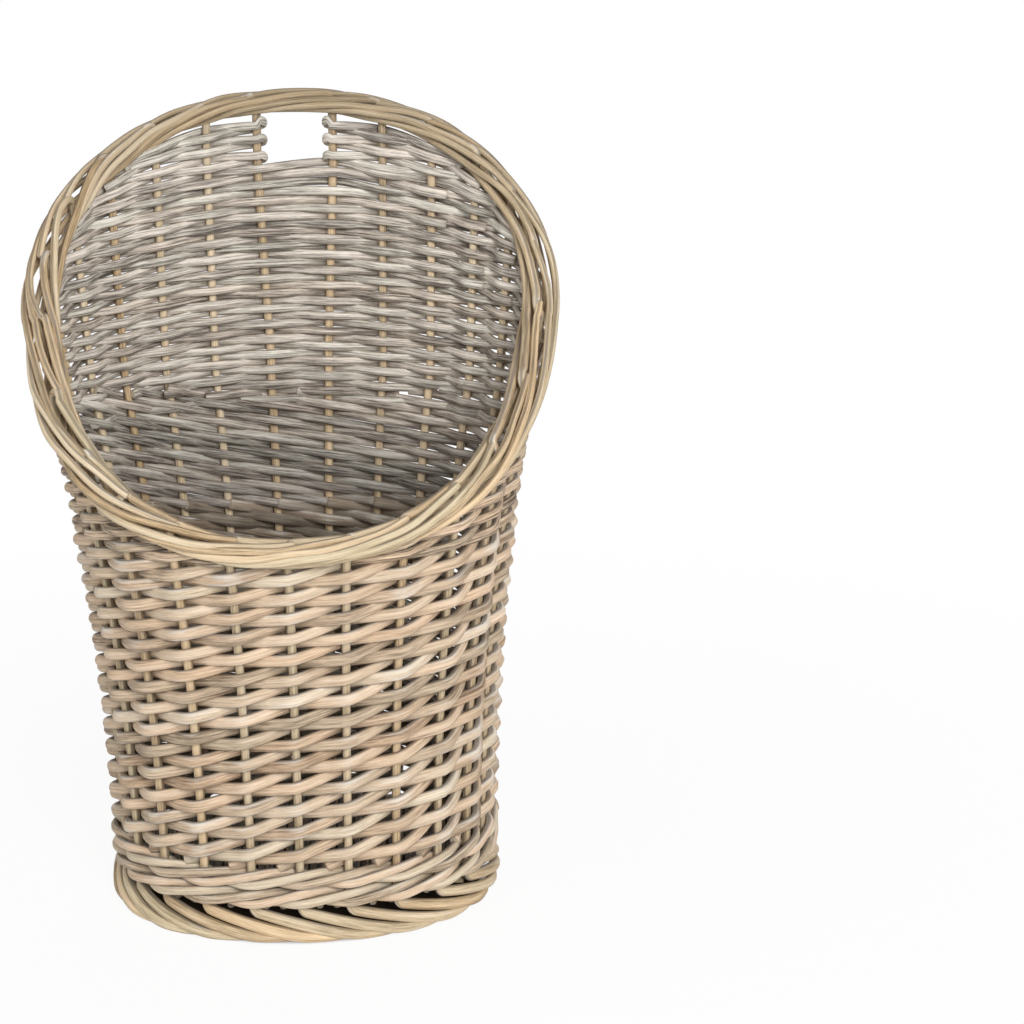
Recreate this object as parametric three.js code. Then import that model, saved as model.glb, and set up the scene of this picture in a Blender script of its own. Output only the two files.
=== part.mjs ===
// A wall basket of woven willow with a tall back, a low front and a slanted mouth.
//
// Every rod is a solid of its own. The stakes turn under as the foot border, stand up as the ribs of
// the wall and roll over as the rim border. Three wale rods lock the stakes above the foot. One long
// weaver starts at each stake and climbs the lower wall in front of one stake and behind the next.
// Thinner weavers run to and fro across the tall back, and turn round the stakes beside the hanging
// hole under the back rim. A woven mat on two sticks closes the bottom.
//
// Millimetres, +Z up, the front of the basket faces -Y. An angle t goes round the wall: 0 is the
// middle of the front, a quarter turn is the +X side and half a turn is the middle of the back.
import * as THREE from 'three';

// Wall, measured at the centre line of the stakes.
const BASE_HALF_WIDTH = 110;
const BASE_FRONT_DEPTH = 94;
const BASE_BACK_DEPTH = 71.5;
const SIDE_FLARE = 31.5; // how much wider the wall is at the height of the next line
const FLARE_HEIGHT = 340;
const FLARE_POWER = 2.4; // the wall stands almost upright below and leans out more and more above
const FRONT_FLARE = 57;
const BACK_FLARE = 16;
const FRONT_ROUNDNESS = 2.4; // power of the oval: 2 is a plain ellipse, more is squarer
const BACK_ROUNDNESS = 1.85;
const RIM_FRONT_HEIGHT = 249.5; // centre of the rim border above the ground
const RIM_BACK_HEIGHT = 458.5;
const RIM_SWEEP = 1.1; // how late the rim climbs on its way to the back

// Rods.
const STAKE_COUNT = 25;
const STAKE_SIDES = 6; // flat sides that stand for a round rod
const WEAVER_SIDES = 4;
const STAKE_CROWDING = 0.03; // share by which the stakes stand closer in front and wider at the back
const SIDE_CROWDING = 0.04; // share by which they stand closer at the sides
const GATHER_HEIGHT = 300; // above this height the stakes no longer spread with the wall
const STAKE_D = 5.4;
const WALE_D = 5.4;
const WEAVER_D = 5.6;
const BACK_WEAVER_D = 4;
const CLEARANCE = 0.3; // between rods that touch

// Borders that the ends of the stakes make.
const BEND = 6; // length of each leg of the bend between a stake and its border stroke
const RIB_STEP = 36; // longest straight length of a stake on the curve of the wall
const FOOT_SPACES = 2; // stake spaces in which a stroke of the foot border comes down
const FOOT_ROD_GAP = 1.7; // between neighbouring strokes of the foot border
const FOOT_SPREAD = 6; // how far a stroke leaves the wall on its way down
const FOOT_TAIL_SPACES = 0.7; // stake spaces for which its end then lies on the ground
const FOOT_LEVEL_SHARE = 0.35; // share of that end after which it is quite level
const RIM_ROLL_SPACES = 7; // stake spaces in which a rod rolls once round the rim
const RIM_END_SPACES = 6; // stake spaces after which it is cut off
const RIM_ROD_GAP = 0.9; // between neighbouring rods of the rim border
const RIM_WIDENING = 1.25; // how much wider than tall the roll of the rim is

// Weaving.
const WALE_RODS = 3;
const WALE_TURNS = 2;
const WALE_STEP_SPACES = 5; // stake spaces in which a turn of the wale steps up to the next
const WALE_ROW_GAP = 0.6; // between neighbouring layers of the wale
const WEAVER_ROW_GAP = 1.36; // between neighbouring weavers half way up the lower wall
const WEAVER_CLOSING_SHARE = 0.07; // share by which their rows are higher at the foot and lower at the top
const BACK_ROW_GAP = 0.65; // between neighbouring rows of the back
const BACK_ROW_DROOP_SHARE = 0.1; // share by which the rows of the back close up at the sides
const LOWER_RUN_SHARE = 0.42; // share of the whole back rows that the first back weaver makes

// Hanging hole, between the two middle stakes of the back.
const HOLE_HEIGHT = 25;
const HOLE_SPREAD = 0.4; // share by which the stakes beside the hole are bent apart
const HOLE_SPREAD_SPACES = 0.6; // how far that reaches, in stake spaces
const HOLE_SPREAD_RISE = 110; // height below the hole in which they bend apart

// Bottom.
const MAT_THICKNESS = 6;
const BASE_STICKS = 2;
const BASE_STICK_SIDES = 8;
const BASE_STICK_D = 7;
const BASE_STICK_SPACING = 68;

// Sizes worked out from the ones above.
const STAKE_STEP = (2 * Math.PI) / STAKE_COUNT;
const STAKE_R = STAKE_D / 2;
const STAKE_FLAT_R = STAKE_R * Math.cos(Math.PI / STAKE_SIDES); // from the centre to a flat side
const FOOT_DROP = STAKE_D + FOOT_ROD_GAP; // how far a foot stroke comes down in a stake space
const FOOT_TUCK = FOOT_SPREAD + FOOT_DROP; // how far its end is tucked back inwards
const FOOT_TOP = STAKE_FLAT_R + FOOT_SPACES * FOOT_DROP;
const RIM_R = (STAKE_D + RIM_ROD_GAP) / (2 * Math.sin(Math.PI / RIM_ROLL_SPACES));
const RIM_SEAT = RIM_R + BEND; // from the centre of the rim down to where the bends begin
const WALE_ROW = WALE_D + WALE_ROW_GAP;
const WALE_BOTTOM = FOOT_TOP + BEND;
const WALE_TOP = WALE_BOTTOM + (2 * WALE_TURNS - 1) * WALE_ROW + WALE_D;
const WEAVER_ROW = WEAVER_D + WEAVER_ROW_GAP;
const WEAVER_START = WALE_TOP + WEAVER_D / 2;
const WEAVER_STEPS = Math.floor(
  (RIM_FRONT_HEIGHT - RIM_SEAT - WEAVER_D - WEAVER_START) / WEAVER_ROW,
);
const BACK_ROW = BACK_WEAVER_D + BACK_ROW_GAP;
const BACK_START = WEAVER_START + WEAVER_STEPS * WEAVER_ROW + (WEAVER_D + BACK_ROW) / 2;
const HOLE_BOTTOM = RIM_BACK_HEIGHT - RIM_SEAT - HOLE_HEIGHT;
const MAT_TOP = WALE_BOTTOM - CLEARANCE;

const UP = new THREE.Vector3(0, 0, 1);

// The colours of the peeled and weathered rods.
const COLOURS = { stake: 0xb9a37a, wale: 0xbba487, weaver: 0xb49a82, back: 0x8f8272, base: 0xa08c70 };
const SHADE_SPREAD = 0.05; // how much lighter or darker a rod may be than the next

const basket = new THREE.Group();

// One named piece with a material of its own, each rod a shade lighter or darker than the last.
function addPiece(name, geometry, colour, shade = 0) {
  const material = new THREE.MeshStandardMaterial({ color: colour, roughness: 0.75, metalness: 0 });
  material.color.offsetHSL(0, 0, SHADE_SPREAD * Math.sin(shade));
  const mesh = new THREE.Mesh(geometry, material);
  mesh.name = name;
  basket.add(mesh);
}

const label = (stem, index) => `${stem}_${String(index + 1).padStart(2, '0')}`;

// How much of the flare the wall has at height z.
const flareAt = (z) => (z / FLARE_HEIGHT) ** FLARE_POWER;

const halfWidth = (z) => BASE_HALF_WIDTH + SIDE_FLARE * flareAt(z);

// A point of the wall's plan at angle t and height z, on the centre line of the stakes.
function planPoint(t, z) {
  const across = Math.sin(t);
  const along = Math.cos(t);
  const power = along > 0 ? FRONT_ROUNDNESS : BACK_ROUNDNESS;
  const width = halfWidth(z);
  const front = BASE_FRONT_DEPTH + FRONT_FLARE * flareAt(z);
  const depth = along > 0 ? front : BASE_BACK_DEPTH + BACK_FLARE * flareAt(z);
  const round = (Math.abs(across) ** power + Math.abs(along) ** power) ** (-1 / power);
  return new THREE.Vector3(width * round * across, -depth * round * along, z);
}

// Level unit vector along the wall at t, towards growing t.
function wallDirection(t, z) {
  const step = 1e-3;
  return planPoint(t + step, z).sub(planPoint(t - step, z)).normalize();
}

// A point of the wall moved outwards by out and sideways along the wall by side.
function wallPoint(t, z, out = 0, side = 0) {
  const along = wallDirection(t, z);
  const outward = along.clone().cross(UP);
  return planPoint(t, z).addScaledVector(outward, out).addScaledVector(along, side);
}

// The hanging hole lies in the middle of the back, between this stake and the next.
const BACK_STAKE = Math.ceil(STAKE_COUNT / 2) - 1;

// The angle of a place on the wall at a height, counted in stakes: a whole number is a stake, and a
// half is the middle between two. The stakes stand closest at the sides and widest at the back. Those
// of the back go straight up where the wall spreads, and the two beside the hole are bent apart.
function stakeAngle(place, z) {
  const aside = THREE.MathUtils.euclideanModulo(place, STAKE_COUNT) - BACK_STAKE - 0.5;
  const even = aside * STAKE_STEP;
  const crowded = STAKE_CROWDING * Math.sin(even) + (SIDE_CROWDING / 2) * Math.sin(2 * even);
  const gather = halfWidth(GATHER_HEIGHT) / halfWidth(Math.max(z, GATHER_HEIGHT));
  const rise = THREE.MathUtils.clamp((z - HOLE_BOTTOM) / HOLE_SPREAD_RISE + 1, 0, 1);
  const spread = HOLE_SPREAD * rise * Math.exp(-0.5 * (aside / HOLE_SPREAD_SPACES) ** 2);
  return Math.PI + (even + crowded) * gather * (1 + spread);
}

// The stake that mirrors another across the middle of the back.
const mirrorStake = (index) => 2 * BACK_STAKE + 1 - index;

// A point of the wall at a place counted in stakes.
function placePoint(place, z, out = 0, side = 0) {
  return wallPoint(stakeAngle(place, z), z, out, side);
}

// Distance from a stake to its nearer neighbour.
function stakeSpace(index, z) {
  const here = placePoint(index, z);
  const before = here.distanceTo(placePoint(index - 1, z));
  const after = here.distanceTo(placePoint(index + 1, z));
  return Math.min(before, after);
}

// How far from the wall's centre line a rod of a given diameter passes a stake, when it runs straight
// from one side of a stake to the other side of the next.
function passOffset(index, z, diameter) {
  const touch = STAKE_R + diameter / 2 + CLEARANCE;
  const space = stakeSpace(index, z);
  return (touch * space) / Math.sqrt(space ** 2 - (2 * touch) ** 2);
}

// Height of the centre of the rim at t, from the front up to the back.
function rimHeight(t) {
  const share = ((1 - Math.cos(t)) / 2) ** RIM_SWEEP;
  return RIM_FRONT_HEIGHT + (RIM_BACK_HEIGHT - RIM_FRONT_HEIGHT) * share;
}

// The angle at which a place meets the rim, found in a few rounds.
function rimAngle(place) {
  const rounds = 8;
  let angle = stakeAngle(place, GATHER_HEIGHT);
  for (let round = 0; round < rounds; round += 1) {
    angle = stakeAngle(place, rimHeight(angle));
  }
  return angle;
}

// A point on the roll of the rim: turn is 0 outside, a quarter above, a half inside.
function rimPoint(t, turn) {
  const step = 1e-3;
  const centre = planPoint(t, rimHeight(t));
  const ahead = planPoint(t + step, rimHeight(t + step));
  const behind = planPoint(t - step, rimHeight(t - step));
  const along = ahead.sub(behind).normalize();
  const outward = wallDirection(t, rimHeight(t)).cross(UP);
  outward.addScaledVector(along, -outward.dot(along)).normalize();
  const above = outward.clone().cross(along);
  const angle = 2 * Math.PI * turn;
  centre.addScaledVector(outward, RIM_WIDENING * RIM_R * Math.cos(angle));
  return centre.addScaledVector(above, RIM_R * Math.sin(angle));
}

// The route of a rod: straight between its points, with its section held upright along the way.
class RodPath extends THREE.Curve {
  constructor(points) {
    super();
    this.points = points;
  }

  getPointAt(share, target = new THREE.Vector3()) {
    const place = share * (this.points.length - 1);
    const index = Math.min(Math.floor(place + 1e-6), this.points.length - 2);
    return target.lerpVectors(this.points[index], this.points[index + 1], place - index);
  }

  computeFrenetFrames(segments) {
    const frames = { tangents: [], normals: [], binormals: [] };
    let normal = UP;
    for (let index = 0; index <= segments; index += 1) {
      const here = this.points[index];
      const before = this.points[Math.max(index - 1, 0)];
      const after = this.points[Math.min(index + 1, segments)];
      const arriving = here.clone().sub(before).normalize();
      const leaving = after.clone().sub(here).normalize();
      const tangent = arriving.add(leaving).normalize();
      normal = normal.clone().addScaledVector(tangent, -normal.dot(tangent)).normalize();
      frames.tangents.push(tangent);
      frames.normals.push(normal);
      frames.binormals.push(tangent.clone().cross(normal));
    }
    return frames;
  }
}

// A rod of a given diameter along points. Its section has a corner on top, or a flat if flatTop is set.
function rod(points, diameter, sides, flatTop = false) {
  const corners = [];
  for (let index = 0; index < sides; index += 1) {
    const angle = ((index + (flatTop ? 0.5 : 0)) / sides) * 2 * Math.PI;
    corners.push(new THREE.Vector2(Math.cos(angle), Math.sin(angle)).multiplyScalar(diameter / 2));
  }
  const path = new RodPath(points);
  return new THREE.ExtrudeGeometry(new THREE.Shape(corners), {
    steps: points.length - 1,
    extrudePath: path,
    bevelEnabled: false,
  });
}

// Points on a smooth bend from one point to another round a corner, both ends included.
function bend(from, corner, to, steps = 3) {
  return new THREE.QuadraticBezierCurve3(from, corner, to).getPoints(steps);
}

// Stakes: foot border, rib of the wall and rim border in one rod.

// A point on a stroke of the foot border, a number of stake spaces on from its stake: it slants down
// and outwards to the ground, then its end lies flat and turns back in under the next strokes.
function footPoint(index, spaces) {
  const down = Math.min(spaces, FOOT_SPACES);
  const tail = (spaces - down) / FOOT_TAIL_SPACES;
  const out = (FOOT_SPREAD * down) / FOOT_SPACES - FOOT_TUCK * tail;
  return placePoint(index + spaces, FOOT_TOP - FOOT_DROP * down, out);
}

// A point on a stroke of the rim border: it starts below, rolls outwards, over the top and inside.
function borderPoint(index, spaces) {
  return rimPoint(rimAngle(index + spaces), spaces / RIM_ROLL_SPACES - 0.25);
}

function stakePoints(index) {
  const points = [];
  const footBend = BEND / stakeSpace(index, FOOT_TOP);
  for (const share of [1, FOOT_LEVEL_SHARE]) {
    points.push(footPoint(index, FOOT_SPACES + share * FOOT_TAIL_SPACES));
  }
  const footSteps = 3;
  for (let step = footSteps; step > 0; step -= 1) {
    points.push(footPoint(index, footBend + ((FOOT_SPACES - footBend) * step) / footSteps));
  }
  const foot = placePoint(index, FOOT_TOP + BEND);
  points.push(...bend(footPoint(index, footBend), footPoint(index, 0), foot));
  const rim = rimHeight(rimAngle(index));
  const rise = rim - RIM_SEAT - foot.z;
  const ribSteps = Math.ceil(rise / RIB_STEP);
  for (let step = 1; step < ribSteps; step += 1) {
    points.push(placePoint(index, foot.z + (rise * step) / ribSteps));
  }
  const seat = placePoint(index, rim - RIM_SEAT);
  const rimBend = BEND / stakeSpace(index, rim);
  points.push(...bend(seat, borderPoint(index, 0), borderPoint(index, rimBend)));
  const rimSteps = 12;
  for (let step = 1; step <= rimSteps; step += 1) {
    points.push(borderPoint(index, rimBend + ((RIM_END_SPACES - rimBend) * step) / rimSteps));
  }
  return points;
}

for (let index = 0; index < STAKE_COUNT; index += 1) {
  const geometry = rod(stakePoints(index), STAKE_D, STAKE_SIDES, true);
  addPiece(label('stake', index), geometry, COLOURS.stake, index);
}

// Wale: three rods. Each comes out low, rises in front of two stakes and goes in behind the third above
// the other rods. A turn is level and steps up to the next in its last few stake spaces, where the
// last turn stops short.
function waleLevel(index) {
  const turn = Math.min(Math.floor(index / STAKE_COUNT), WALE_TURNS - 1);
  const left = STAKE_COUNT - (index - turn * STAKE_COUNT);
  const step = turn < WALE_TURNS - 1 ? Math.max(0, 1 - left / WALE_STEP_SPACES) : 0;
  return WALE_BOTTOM + WALE_D / 2 + 2 * WALE_ROW * (turn + step);
}

function walePoints(first) {
  const points = [];
  const last = WALE_TURNS * STAKE_COUNT - WALE_STEP_SPACES - 1;
  for (let index = first; index <= last; index += 1) {
    const stake = (BACK_STAKE + index) % STAKE_COUNT;
    const low = waleLevel(index);
    const offset = passOffset(stake, low, WALE_D);
    const stroke = (index - first) % WALE_RODS; // 0 behind the stake, 1 first in front, 2 second in front
    points.push(placePoint(stake, stroke === 2 ? low + WALE_ROW : low, stroke === 0 ? -offset : offset));
    if (index < last) {
      const lift = [0, WALE_ROW / 2, WALE_ROW][stroke];
      points.push(placePoint(stake + 0.5, waleLevel(index + 0.5) + lift, stroke === 1 ? offset : 0));
    }
  }
  return points;
}

for (let index = 0; index < WALE_RODS; index += 1) {
  addPiece(label('wale_rod', index), rod(walePoints(index), WALE_D, WEAVER_SIDES), COLOURS.wale, index);
}

// Lower wall: from each stake one weaver climbs a row at every stake it passes. Its rows close up
// towards the top, where the rod is thinner.
function weaverHeight(step) {
  return WEAVER_START + step * WEAVER_ROW * (1 + WEAVER_CLOSING_SHARE * (1 - step / WEAVER_STEPS));
}

function weaverPoints(first) {
  const points = [];
  for (let step = 0; step <= WEAVER_STEPS; step += 1) {
    const stake = (first + step) % STAKE_COUNT;
    const z = weaverHeight(step);
    const side = step % 2 === 0 ? -1 : 1;
    points.push(placePoint(stake, z, side * passOffset(stake, z, WEAVER_D)));
  }
  return points;
}

for (let index = 0; index < STAKE_COUNT; index += 1) {
  const geometry = rod(weaverPoints(index), WEAVER_D, WEAVER_SIDES);
  addPiece(label('weaver', index), geometry, COLOURS.weaver, index);
}

// Tall back: rows that run to and fro between the slanted sides of the rim.
function backRowHeight(row, index) {
  const droop = BACK_ROW_DROOP_SHARE * Math.sin(stakeAngle(index, BACK_START)) ** 2;
  return BACK_START + row * BACK_ROW * (1 - droop);
}

// Half width of the loop with which a back weaver turns round a stake.
const LOOP = (STAKE_R + BACK_WEAVER_D / 2 + CLEARANCE) / Math.cos(Math.PI / 8);

// Height of the rim's underside where a row reaches some way beyond a stake on the +X side.
function rimUnderside(index, reach) {
  const rim = rimHeight(rimAngle(index));
  const far = reach + BACK_WEAVER_D / 2;
  const beside = rimHeight(rimAngle(Math.max(index - far / stakeSpace(index, rim), 0)));
  return beside - (RIM_R + STAKE_R + CLEARANCE) * Math.hypot(1, (rim - beside) / far);
}

// Highest place for the top of a row that ends at a stake on the +X side: below the bend of the stake
// there, and below the rim border where the row's loop reaches out beyond the stake.
function rowCeiling(index) {
  return Math.min(rimHeight(rimAngle(index)) - RIM_SEAT, rimUnderside(index, LOOP));
}

// How far beyond its end stake a row turns: round the stake beside the hole, and otherwise on towards
// the rim, at most half way to the next stake.
function turnReach(row, index) {
  const stake = Math.min(index, mirrorStake(index));
  const top = backRowHeight(row, stake) + BACK_WEAVER_D / 2;
  const most = stake === BACK_STAKE ? LOOP : stakeSpace(stake, top) / 2;
  const tries = 20;
  let reach = most;
  while (reach > LOOP && top > rimUnderside(stake, reach)) {
    reach -= (most - LOOP) / tries;
  }
  return Math.max(reach, LOOP);
}

// The first stake, on the +X side, that a row reaches clear of the rim.
function firstStake(row) {
  let index = 0;
  while (index <= BACK_STAKE && backRowHeight(row, index) + BACK_WEAVER_D / 2 >= rowCeiling(index)) {
    index += 1;
  }
  return index;
}

// Route of a weaver over some rows. ends(row) gives the lowest and highest stake that a row may reach.
function backPoints(rows, ends) {
  const points = [];
  rows.forEach((row, place) => {
    const forward = place % 2 === 0;
    const [low, high] = ends(row);
    const [lowBefore, highBefore] = place > 0 ? ends(rows[place - 1]) : [low, high];
    const [lowAfter, highAfter] = place < rows.length - 1 ? ends(rows[place + 1]) : [low, high];
    const bottom = Math.max(low, forward ? lowBefore : lowAfter);
    const top = Math.min(high, forward ? highAfter : highBefore);
    const stakes = [];
    for (let index = bottom; index <= top; index += 1) {
      stakes.push(index);
    }
    if (!forward) {
      stakes.reverse();
    }
    for (const index of stakes) {
      const z = backRowHeight(row, index);
      const side = (index + row) % 2 === 0 ? 1 : -1;
      points.push(placePoint(index, z, side * passOffset(index, z, BACK_WEAVER_D)));
    }
    if (place < rows.length - 1) {
      const index = stakes.at(-1);
      const side = (index + row) % 2 === 0 ? 1 : -1;
      const z = backRowHeight(row, index);
      const rise = backRowHeight(rows[place + 1], index) - z;
      const reach = turnReach(rows[place + 1], index);
      const half = LOOP * (1 - (2 * (reach - LOOP)) / stakeSpace(index, z));
      for (const [turn, climbed] of [[0.25, 0], [0.5, 0.5], [0.75, 1]]) {
        const angle = turn * Math.PI;
        const beyond = (forward ? 1 : -1) * (reach - LOOP * (1 - Math.sin(angle)));
        points.push(placePoint(index, z + climbed * rise, side * half * Math.cos(angle), beyond));
      }
    }
  });
  return points;
}

const backRows = [];
for (let row = 0; firstStake(row) < BACK_STAKE; row += 1) {
  backRows.push(row);
}
const belowHole = backRows.filter((row) => backRowHeight(row, BACK_STAKE) < HOLE_BOTTOM);
const besideHole = backRows.filter((row) => !belowHole.includes(row));
const lowerRun = Math.round(belowHole.length * LOWER_RUN_SHARE);
const wholeRow = (row) => [firstStake(row), mirrorStake(firstStake(row))];
const rightOfHole = (row) => [firstStake(row), BACK_STAKE];
const leftOfHole = (row) => [BACK_STAKE + 1, mirrorStake(firstStake(row))];
const BACK_RUNS = [
  ['back_weaver_lower', belowHole.slice(0, lowerRun), wholeRow],
  ['back_weaver_upper', belowHole.slice(lowerRun), wholeRow],
  ['back_weaver_hole_right', besideHole, rightOfHole],
  ['back_weaver_hole_left', besideHole, leftOfHole],
];
BACK_RUNS.forEach(([name, rows, ends], index) => {
  const geometry = rod(backPoints(rows, ends), BACK_WEAVER_D, WEAVER_SIDES);
  addPiece(name, geometry, COLOURS.back, index);
});

// Bottom: an oval mat inside the stakes, on two sticks.
const matBottom = MAT_TOP - MAT_THICKNESS;
const matInset = STAKE_R + CLEARANCE;
const matOutline = [];
for (let index = 0; index < 2 * STAKE_COUNT; index += 1) {
  const edge = placePoint(index / 2, matBottom, -matInset);
  matOutline.push(new THREE.Vector2(edge.x, edge.y));
}
const mat = new THREE.ExtrudeGeometry(new THREE.Shape(matOutline), {
  depth: MAT_THICKNESS,
  bevelEnabled: false,
});
addPiece('base_mat', mat.translate(0, 0, matBottom), COLOURS.base);

// How far the mat reaches along X at y, on the side of the given sign.
function matReach(y, sign) {
  let reach = 0;
  matOutline.forEach((corner, index) => {
    const next = matOutline[(index + 1) % matOutline.length];
    if ((corner.y - y) * (next.y - y) < 0) {
      const share = (y - corner.y) / (next.y - corner.y);
      const x = corner.x + share * (next.x - corner.x);
      reach = sign * x > sign * reach ? x : reach;
    }
  });
  return reach;
}

const middleY = (BASE_BACK_DEPTH - BASE_FRONT_DEPTH) / 2;
const stickZ = matBottom - CLEARANCE - BASE_STICK_D / 2;
for (let index = 0; index < BASE_STICKS; index += 1) {
  const y = middleY + (index - (BASE_STICKS - 1) / 2) * BASE_STICK_SPACING;
  const edges = [y - BASE_STICK_D / 2, y + BASE_STICK_D / 2];
  const from = Math.max(...edges.map((edge) => matReach(edge, -1)));
  const to = Math.min(...edges.map((edge) => matReach(edge, 1)));
  const ends = [new THREE.Vector3(from, y, stickZ), new THREE.Vector3(to, y, stickZ)];
  const geometry = rod(ends, BASE_STICK_D, BASE_STICK_SIDES, true);
  addPiece(label('base_stick', index), geometry, COLOURS.base, index);
}

// The origin is on the ground, under the middle of the whole basket.
basket.updateMatrixWorld(true);
const centre = new THREE.Box3().setFromObject(basket).getCenter(new THREE.Vector3());
basket.position.set(-centre.x, -centre.y, 0);

export default basket;
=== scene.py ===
# %% [markdown]
# # A wall basket of woven willow
#
# A basket has no smooth wall. It is a few dozen round rods that bend round each other, and the eye
# reads every one of them. So this scene draws each rod as a tube along its real path: the stakes, the
# wale above the foot, the climbing weavers of the lower wall, the thin rows of the tall back, and the
# mat of the bottom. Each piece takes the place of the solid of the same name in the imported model.

import bpy
import numpy as np
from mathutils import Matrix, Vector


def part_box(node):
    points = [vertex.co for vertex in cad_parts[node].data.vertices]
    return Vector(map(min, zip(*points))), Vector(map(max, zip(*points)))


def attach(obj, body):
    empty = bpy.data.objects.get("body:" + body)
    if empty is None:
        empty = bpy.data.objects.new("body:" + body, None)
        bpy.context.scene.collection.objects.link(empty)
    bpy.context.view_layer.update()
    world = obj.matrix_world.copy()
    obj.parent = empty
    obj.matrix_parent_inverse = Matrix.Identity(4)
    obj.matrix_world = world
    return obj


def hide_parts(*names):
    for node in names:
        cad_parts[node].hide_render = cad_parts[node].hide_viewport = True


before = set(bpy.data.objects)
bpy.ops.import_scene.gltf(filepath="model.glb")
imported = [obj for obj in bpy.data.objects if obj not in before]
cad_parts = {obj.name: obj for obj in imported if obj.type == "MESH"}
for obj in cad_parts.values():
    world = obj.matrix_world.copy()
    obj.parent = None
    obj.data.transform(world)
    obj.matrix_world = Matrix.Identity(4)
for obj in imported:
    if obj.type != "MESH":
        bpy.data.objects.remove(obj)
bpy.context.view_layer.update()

# %% [markdown]
# ## The shape that the rods follow
#
# All sizes are in millimetres. The wall is that of the solids, with the rim about 2 mm lower in front.
# It could be modelled as a surface, with the rods traced on it by hand. A formula gives the same points
# and bends every rod with the wall. An angle t goes round the wall, from the middle of the low front
# over the +X side to the middle of the tall back. Places on the wall are counted in stakes, because
# every weaver thinks in stakes: a whole number is a stake, and a half is the middle of the space
# between two.

# %% Sizes of the wall and its rods
MM = 0.001  # a millimetre, in the metres of the scene
BASE_HALF_WIDTH, BASE_FRONT_DEPTH, BASE_BACK_DEPTH = 110.0, 94.0, 71.5
SIDE_FLARE, FRONT_FLARE, BACK_FLARE = 31.5, 57.0, 16.0
FLARE_HEIGHT, FLARE_POWER = 340.0, 2.4
FRONT_ROUNDNESS, BACK_ROUNDNESS = 2.4, 1.85
RIM_FRONT_HEIGHT, RIM_BACK_HEIGHT, RIM_SWEEP = 247.6, 458.8, 1.1
STAKES, STAKE_CROWDING, SIDE_CROWDING, STAKE_R = 25, 0.03, 0.04, 2.6
BACK_STAKE = 12  # the hanging hole lies between this stake and the next
GATHER_HEIGHT = 300.0  # above this height the stakes no longer spread with the wall
HOLE_BOTTOM, HOLE_SPREAD, HOLE_SPREAD_SPACES, HOLE_SPREAD_RISE = 420.2, 0.4, 0.6, 110.0
STAKE_STEP = 2 * np.pi / STAKES
NUDGE = 1e-3  # small angle to both sides of a point, for the way that a curve goes there
UP = np.array([0.0, 0.0, 1.0])
chance = np.random.default_rng(25)
print("one stake every", round(360 / STAKES, 1), "degrees")


# %% The wall as a function of place and height
def unit(vectors):
    """Vectors divided by their length."""
    return vectors / np.linalg.norm(vectors, axis=-1, keepdims=True)


def spans(z):
    """Half width, depth to the front and depth to the back at height z: base plus flare * z to a power."""
    flare = (np.maximum(z, 0) / FLARE_HEIGHT) ** FLARE_POWER
    return (
        BASE_HALF_WIDTH + SIDE_FLARE * flare,
        BASE_FRONT_DEPTH + FRONT_FLARE * flare,
        BASE_BACK_DEPTH + BACK_FLARE * flare,
    )


def plan(t, z):
    """Point of the wall: a superellipse, squarer in front than behind, that leans out with height z."""
    across, along = np.sin(t), np.cos(t)
    power = np.where(along > 0, FRONT_ROUNDNESS, BACK_ROUNDNESS)
    width, front, back = spans(z)
    depth = np.where(along > 0, front, back)
    radius = (np.abs(across) ** power + np.abs(along) ** power) ** (-1 / power)
    return np.stack([width * radius * across, -depth * radius * along, z + 0 * t], -1)


def angle_at(points):
    """Angle t of points near the wall."""
    width, front, back = spans(points[..., 2])
    ahead = -points[..., 1]
    return np.arctan2(points[..., 0] / width, ahead / np.where(ahead > 0, front, back))


def stake_angle(place, z):
    """Angle of a place at height z: steps to both sides of the back, closest at the sides of the basket.

    High up the steps shrink as the wall spreads, so the stakes of the back go straight up. The two
    stakes beside the hole are bent apart: their steps grow by a bell over the places near it.
    """
    aside = place % STAKES - BACK_STAKE - 0.5
    even = aside * STAKE_STEP
    gather = spans(GATHER_HEIGHT)[0] / spans(np.maximum(z, GATHER_HEIGHT))[0]
    rise = np.clip((z - HOLE_BOTTOM) / HOLE_SPREAD_RISE + 1, 0, 1)
    spread = HOLE_SPREAD * rise * np.exp(-0.5 * (aside / HOLE_SPREAD_SPACES) ** 2)
    crowded = STAKE_CROWDING * np.sin(even) + SIDE_CROWDING / 2 * np.sin(2 * even)
    return np.pi + (even + crowded) * gather * (1 + spread)


def outward(t, z):
    """Level unit vector out of the wall: the way along the wall, crossed with up."""
    return np.cross(unit(plan(t + NUDGE, z) - plan(t - NUDGE, z)), UP)


def wall(place, z, out=0.0):
    """Point at a place and height, moved outwards from the middle of the stakes."""
    place, z, out = np.broadcast_arrays(np.asarray(place, float), z, out)
    t = stake_angle(place, z)
    return plan(t, z) + out[..., None] * outward(t, z)


def space(place, z):
    """Width of the stake space round a place."""
    return np.linalg.norm(wall(place + 0.5, z) - wall(place - 0.5, z), axis=-1)


print("stake space in front and behind:", space(0, 150.0).round(1), space(12.5, 300.0).round(1))

# %% [markdown]
# ## Where the origin is
#
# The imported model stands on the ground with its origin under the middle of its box. The oval mat of
# the bottom has the same outline in both, so the two are laid over each other by its lowest corner.

# %% Shift from the wall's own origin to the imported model's
MAT_BOTTOM, MAT_TOP, MAT_INSET = 16.24, 22.24, 3.0
mat_edge = wall(np.arange(2 * STAKES) / 2, MAT_BOTTOM, -MAT_INSET)
mat_corner = np.array(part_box("base_mat")[0]) / MM
shift = np.array([*(mat_corner[:2] - mat_edge.min(0)[:2]), 0.0])
print("shift in mm:", shift.round(2).tolist())

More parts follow.
